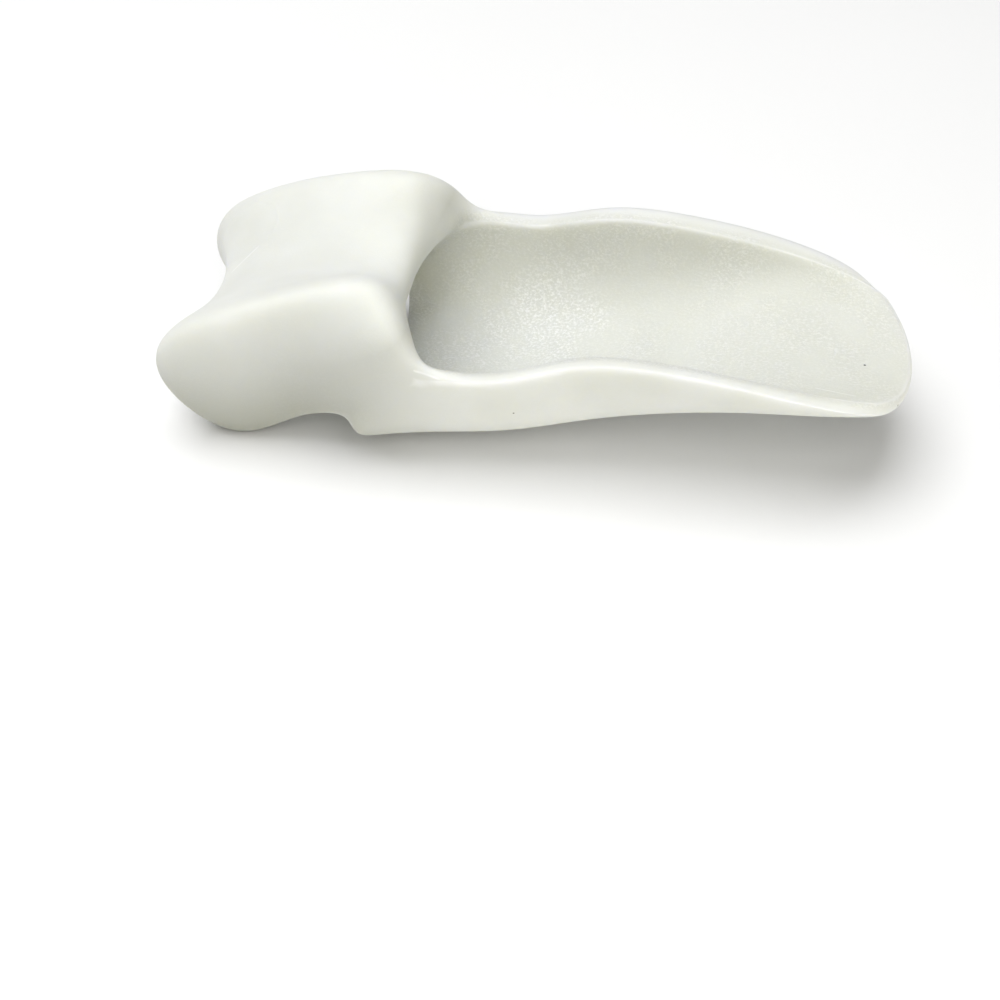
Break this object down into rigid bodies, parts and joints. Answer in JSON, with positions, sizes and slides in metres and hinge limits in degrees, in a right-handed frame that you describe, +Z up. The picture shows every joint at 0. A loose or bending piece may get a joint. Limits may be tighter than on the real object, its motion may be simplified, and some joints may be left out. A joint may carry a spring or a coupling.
{
  "type": "toe separator",
  "caption": "Soft gel toe separator: an hourglass spacer for the gap between two toes, moulded on a leaf-shaped trough that shields the side of the big toe joint.",
  "frame": {"origin": "middle of the underside of the bounding box, on the surface the moulding lies on", "axes": "+X along the moulding from the spacer to the tip of the shield, +Y across it, +Z up, with the hollow of the shield facing up"},
  "size_m": [0.0876, 0.0342, 0.023],
  "materials": {
    "milky_gel": "satin"
  },
  "bodies": {
    "root": {"gel_moulding": "milky_gel"}
  },
  "joints": []
}
